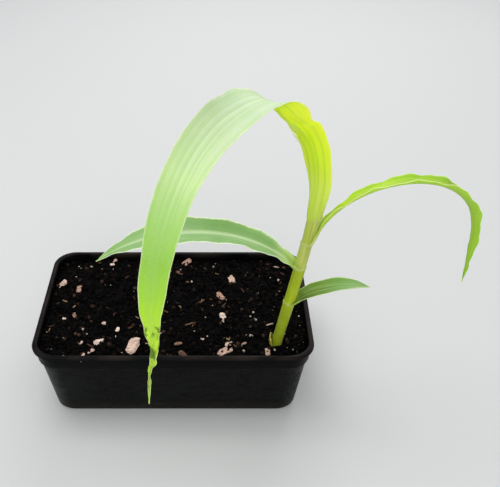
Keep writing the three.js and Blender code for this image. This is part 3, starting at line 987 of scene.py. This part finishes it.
# The surface's relief: how long rolls and lumps are, how wide crumbs and grains are, and how high
ROLL_LENGTH = 26
LUMP_LENGTH = 7
CRUMB_WIDTH = 2.6
GRAIN_WIDTH = 1.3
ROLL, LUMP, CRUMB, GRAIN = 0.9, 0.8, 1.1, 0.5
BUMP_REACH = 0.75
SURFACE_DROP = 1.1
SLUMP = 1.6
SLUMP_WIDTH = 3
FOOT_MOUND = 1.5
MOUND_WIDTH = 9


def round_bump(spot):
    """One rounded bump in each cell of a broken-up plane."""
    return max(0, 1 - (noise.voronoi(spot)[0][0] / BUMP_REACH) ** 2)


def soil_height(x, y):
    """How high the compost's surface stands at a place in the pot."""
    spot = Vector((x, y, 0))
    rolling = noise.fractal(spot / ROLL_LENGTH, 1.0, 2.0, 3)
    lumpy = noise.fractal(spot / LUMP_LENGTH + Vector((5, 2, 1)), 0.9, 2.1, 3)
    crumb = round_bump(spot / CRUMB_WIDTH)
    grain = round_bump(spot / GRAIN_WIDTH + Vector((9, 9, 9)))
    edge = min(SOIL_LENGTH / 2 - abs(x), SOIL_DEPTH / 2 - abs(y))
    slump = SLUMP * math.exp(-max(edge, 0) / SLUMP_WIDTH)
    away = math.hypot(x - FOOT_X, y - FOOT_Y)
    mound = FOOT_MOUND * math.exp(-(away / MOUND_WIDTH) ** 2)
    relief = ROLL * rolling + LUMP * lumpy + CRUMB * crumb + GRAIN * grain
    return SOIL_LEVEL - SURFACE_DROP + relief + mound - slump


def inside_corner(x, y):
    """Draws a place in to the compost's rounded outline."""
    middle_x, middle_y = SOIL_LENGTH / 2 - SOIL_CORNER, SOIL_DEPTH / 2 - SOIL_CORNER
    out_x, out_y = abs(x) - middle_x, abs(y) - middle_y
    if out_x <= 0 or out_y <= 0:
        return x, y
    reach = math.hypot(out_x, out_y)
    box = max(out_x, out_y)
    if box >= SOIL_CORNER:
        scale = min(SOIL_CORNER / reach, 1)
    else:
        scale = 1 + (SOIL_CORNER / reach * box / SOIL_CORNER - 1) * (box / SOIL_CORNER) ** 3
    return math.copysign(middle_x + out_x * scale, x), math.copysign(middle_y + out_y * scale, y)


def compost_finish():
    net = Finish("compost")
    where = net.where()
    patches = net.group(mottle, Coarse=180, Fine=1300)
    colour = net.blend(patches["Patch"], (1, 1, 1), (8, 6, 6))
    fibre = net.noise(net.stretched(where, (1, 3.5, 2)), 700, 4, 0.7)
    colour = net.blend(net.mapped(fibre, 0.6, 0.74, 0, 0.25), colour, (54, 38, 30))
    specks = net.mapped(net.noise(where, 1500), 0.68, 0.74)
    colour = net.blend(net.times(specks, 0.4), colour, (120, 98, 80))
    rough = net.mapped(patches["Speck"], 0, 1, 0.6, 0.95)
    return net.joined(colour, rough, fibre, 0.8, 0.0006, Specular_IOR_Level=0.03)


def make_compost():
    piece = new_grid("compost_fill", *SOIL_GRID, 1)
    flat = places_of(piece)
    drawn = [inside_corner(x * SOIL_LENGTH, y * SOIL_DEPTH) for x, y in flat[:, :2]]
    places = np.array([(x, y, soil_height(x, y)) for x, y in drawn])
    place_all(piece, places * MM)
    bpy.ops.object.mode_set(mode="EDIT")
    bpy.ops.mesh.select_mode(type="EDGE")
    bpy.ops.mesh.select_all(action="DESELECT")
    bpy.ops.mesh.select_non_manifold()
    last = SOIL_INSET
    for level in SOIL_LEVELS:
        inset = outer_inset(level) + WALL + WALL_GAP
        draw_up((0, 0, -MM))
        draw_in(inset, last, level, upright=0)
        last = inset
    bpy.ops.mesh.edge_face_add()
    edit_done()
    finish_mesh(piece, compost_finish(), SOIL_SHADING)
    dress(piece, "compost", "compost")


make_compost()


# What lies on the compost: bark chips, crumbs, shreds and pale grains, each kind one joined piece
LUMP_ROUNDING = 0.35
LUMP_ROUGHNESS = 0.2
LUMP_SHADING = 38
LUMP_REACH = 0.6
STEM_CLEAR = 4.6
FULL_TURN = 6.3
# Larger bark chips and pale specks near the front: place along and across the pot, and size.
# Their tone is at least PALE_SHARE
PALE_SHARE = 0.5
LARGE_CHIPS = (
    (58.2, -43.4, 3.3), (32, -42.4, 4.9), (35, -36.4, 3.4), (31.5, -13, 4.2), (-25, -38.5, 7.4),
)
PALE_SPECKS = (
    (62.6, -42, 1.1), (48.6, -29, 1.6), (43.6, -42, 1.2), (51, -7.4, 1), (76, -43, 1.3),
    (70, -40.7, 1),
)


def rough_lump(name, size, flatness, seed, cuts):
    """A small broken lump, modelled once: a box cut up, knocked about and flattened."""
    nothing_selected()
    bpy.ops.mesh.primitive_cube_add(size=1)
    piece = call_it(name)
    edit_all()
    bpy.ops.mesh.subdivide(number_cuts=cuts, smoothness=LUMP_ROUNDING)
    bpy.ops.transform.vertex_random(offset=LUMP_ROUGHNESS, seed=seed)
    length, width = size
    bpy.ops.transform.resize(value=(length, width, width * flatness), center_override=(0, 0, 0))
    edit_done()
    vertices = places_of(piece)
    faces = [tuple(face.vertices) for face in piece.data.polygons]
    mesh = piece.data
    bpy.data.objects.remove(piece)
    bpy.data.meshes.remove(mesh)
    return vertices, faces


def turn_matrix(yaw, pitch, roll):
    cy, sy, cp, sp, cr, sr = (f(a) for a in (yaw, pitch, roll) for f in (math.cos, math.sin))
    about_z = np.array([[cy, -sy, 0], [sy, cy, 0], [0, 0, 1]])
    about_y = np.array([[cp, 0, sp], [0, 1, 0], [-sp, 0, cp]])
    about_x = np.array([[1, 0, 0], [0, cr, -sr], [0, sr, cr]])
    return about_z @ about_y @ about_x


def open_spot(draw, clear):
    """A place on the compost that is clear of the pot's wall and of the stem."""
    while True:
        x = draw.uniform(-0.5, 0.5) * (SOIL_LENGTH - 2 * clear)
        y = draw.uniform(-0.5, 0.5) * (SOIL_DEPTH - 2 * clear)
        corner_x = abs(x) - (SOIL_LENGTH / 2 - SOIL_CORNER)
        corner_y = abs(y) - (SOIL_DEPTH / 2 - SOIL_CORNER)
        in_corner = corner_x > 0 and corner_y > 0
        cut_off = in_corner and math.hypot(corner_x, corner_y) > SOIL_CORNER - clear
        near_stem = math.hypot(x - FOOT_X, y - FOOT_Y) < STEM_CLEAR + clear
        if not (cut_off or near_stem):
            return x, y


def spread_out(name, lumps, count, sizes, sunk, lean, seed, material, laid=()):
    """Lays turned copies of a few lumps on the compost as one mesh, each with its own tone.

    Those in laid have a place and a size of their own and a paler tone, the rest fall anywhere."""
    draw = random.Random(seed)
    vertices, faces, tones, start = [], [], [], 0
    for index in range(len(laid) + count):
        shape, sides = draw.choice(lumps)
        size = draw.uniform(*sizes)
        turn = turn_matrix(draw.uniform(0, FULL_TURN), draw.gauss(0, lean), draw.gauss(0, lean))
        if index < len(laid):
            x, y, size = laid[index]
        else:
            x, y = open_spot(draw, size * LUMP_REACH)
        z = soil_height(x, y) + size * sunk
        copy = (shape * size) @ turn.T + (x, y, z)
        vertices.append(copy)
        faces.extend(tuple(corner + start for corner in side) for side in sides)
        tone = draw.random()
        if index < len(laid):
            tone = PALE_SHARE + (1 - PALE_SHARE) * tone
        tones.extend([tone] * len(copy))
        start += len(copy)
    mesh = bpy.data.meshes.new(name)
    mesh.from_pydata(np.vstack(vertices) * MM, [], faces)
    mark_points(mesh, "tone", tones)
    piece = bpy.data.objects.new(name, mesh)
    bpy.context.collection.objects.link(piece)
    finish_mesh(piece, material, LUMP_SHADING)
    dress(piece, "compost")


def bits_finish(name, stops, grain_scale, roughness):
    net = Finish(name)
    where = net.where()
    grain_at = net.stretched(where, (1, 2.5, 4), (0.4, 0.7, 0.2))
    grain = net.noise(grain_at, grain_scale, 4, 0.65)
    colour = net.ramp(net.attribute("tone"), stops)
    colour = net.blend(net.mapped(grain, 0.38, 0.68, 0, 0.62), colour, (96, 76, 66), "MULTIPLY")
    worn = net.mapped(net.noise(where, 2.2 * grain_scale), 0.5, 0.68, 0, 0.45)
    colour = net.blend(worn, colour, (226, 214, 200), "SOFT_LIGHT")
    rough = net.mapped(grain, 0, 1, roughness - 0.15, roughness + 0.1)
    return net.joined(colour, rough, grain, 0.7, 0.0004, Specular_IOR_Level=0.05)


PEAT = ((0, 1, 1, 1), (0.75, 9, 7, 6), (0.93, 26, 19, 15), (1, 78, 58, 48))
BARK = ((0, 84, 56, 44), (0.3, 168, 130, 112), (0.6, 214, 180, 162), (1, 246, 224, 210))
WOOD = ((0, 52, 36, 28), (0.6, 104, 78, 60), (1, 176, 150, 112))
PALE = ((0, 160, 148, 126), (1, 220, 214, 198))

crumb_lumps = [rough_lump("crumb", (1, 0.85), 0.8, seed, 1) for seed in (3, 11, 19)]
chip_lumps = [rough_lump("chip", (1.5, 0.8), 0.4, seed, 2) for seed in (2, 7, 23)]
shred_lumps = [rough_lump("shred", (2.4, 0.4), 0.6, seed, 1) for seed in (5, 13)]
grain_lumps = [rough_lump("grain", (1, 0.9), 0.85, seed, 1) for seed in (4, 17)]

spread_out(
    "compost_crumbs", crumb_lumps, count=2600, sizes=(0.8, 2.4), sunk=0.1, lean=0.9, seed=41,
    material=bits_finish("crumb_peat", PEAT, 900, 0.85),
)
spread_out(
    "bark_chips", chip_lumps, count=27, sizes=(1.6, 4.6), sunk=0.12, lean=0.35, seed=42,
    material=bits_finish("bark", BARK, 420, 0.85), laid=LARGE_CHIPS,
)
spread_out(
    "wood_shreds", shred_lumps, count=70, sizes=(0.6, 2.2), sunk=0.15, lean=0.35, seed=43,
    material=bits_finish("shred", WOOD, 700, 0.85),
)
spread_out(
    "pale_grains", grain_lumps, count=60, sizes=(0.5, 1.2), sunk=0.2, lean=0.9, seed=44,
    material=bits_finish("pale_grain", PALE, 900, 0.75), laid=PALE_SPECKS,
)


# Floor, light and camera. Lights and floor are in metres
FLOOR_SIZE = 12
FLOOR_DROP = 0.0002
FLOOR_COLOUR = (0.6, 0.6, 0.59, 1)
FLOOR_ROUGHNESS = 0.85
SKY_COLOUR = (0.93, 0.96, 1, 1)
SKY_STRENGTH = 0.62
# Name, place, aim, width, height and power
LIGHTS = (
    ("overhead", (-0.25, 0.05, 1.1), (0.04, -0.03, 0.1), 0.6, 0.6, 5),
    ("behind", (0.2, 0.9, 0.7), (0.04, -0.03, 0.12), 0.9, 0.5, 4),
    ("front", (0.05, -1.1, 0.7), (0.04, -0.03, 0.12), 0.7, 0.6, 5.2),
)
CAMERA_ELEVATION = 38
CAMERA_DISTANCE = 440
AIM = np.array([24, -6.5, 95])
LENS = 51.2
SENSOR_WIDTH = 36
SHIFT = (0.076, 0.033)
NEAREST, FURTHEST = 0.01, 50


def make_floor():
    nothing_selected()
    bpy.ops.mesh.primitive_plane_add(size=FLOOR_SIZE, location=(0, 0, -FLOOR_DROP))
    floor = call_it("floor")
    net = Finish("pale_floor")
    net.shader["Base Color"].default_value = FLOOR_COLOUR
    net.shader["Roughness"].default_value = FLOOR_ROUGHNESS
    floor.data.materials.append(net.material)


def make_lights():
    world = bpy.data.worlds.new("studio")
    world.use_nodes = True
    sky = world.node_tree.nodes["Background"].inputs
    sky["Color"].default_value = SKY_COLOUR
    sky["Strength"].default_value = SKY_STRENGTH
    bpy.context.scene.world = world
    for name, place, aim, width, height, power in LIGHTS:
        light = bpy.data.lights.new(name, "AREA")
        light.shape = "RECTANGLE"
        light.size, light.size_y = width, height
        light.energy = power
        holder = bpy.data.objects.new(name, light)
        holder.location = place
        holder.rotation_euler = (Vector(aim) - Vector(place)).to_track_quat("-Z", "Y").to_euler()
        bpy.context.collection.objects.link(holder)


def make_camera():
    lift = math.radians(CAMERA_ELEVATION)
    back = np.array([0, -math.cos(lift), math.sin(lift)])
    data = bpy.data.cameras.new("camera")
    data.lens = LENS
    data.sensor_width = SENSOR_WIDTH
    data.sensor_fit = "HORIZONTAL"
    data.shift_x, data.shift_y = SHIFT
    data.clip_start, data.clip_end = NEAREST, FURTHEST
    camera = bpy.data.objects.new("camera", data)
    camera.location = (AIM + back * CAMERA_DISTANCE) * MM
    camera.rotation_euler = (math.radians(90 - CAMERA_ELEVATION), 0, 0)
    bpy.context.collection.objects.link(camera)
    bpy.context.scene.camera = camera


make_floor()
make_lights()
make_camera()
bpy.context.scene.view_settings.view_transform = "Standard"
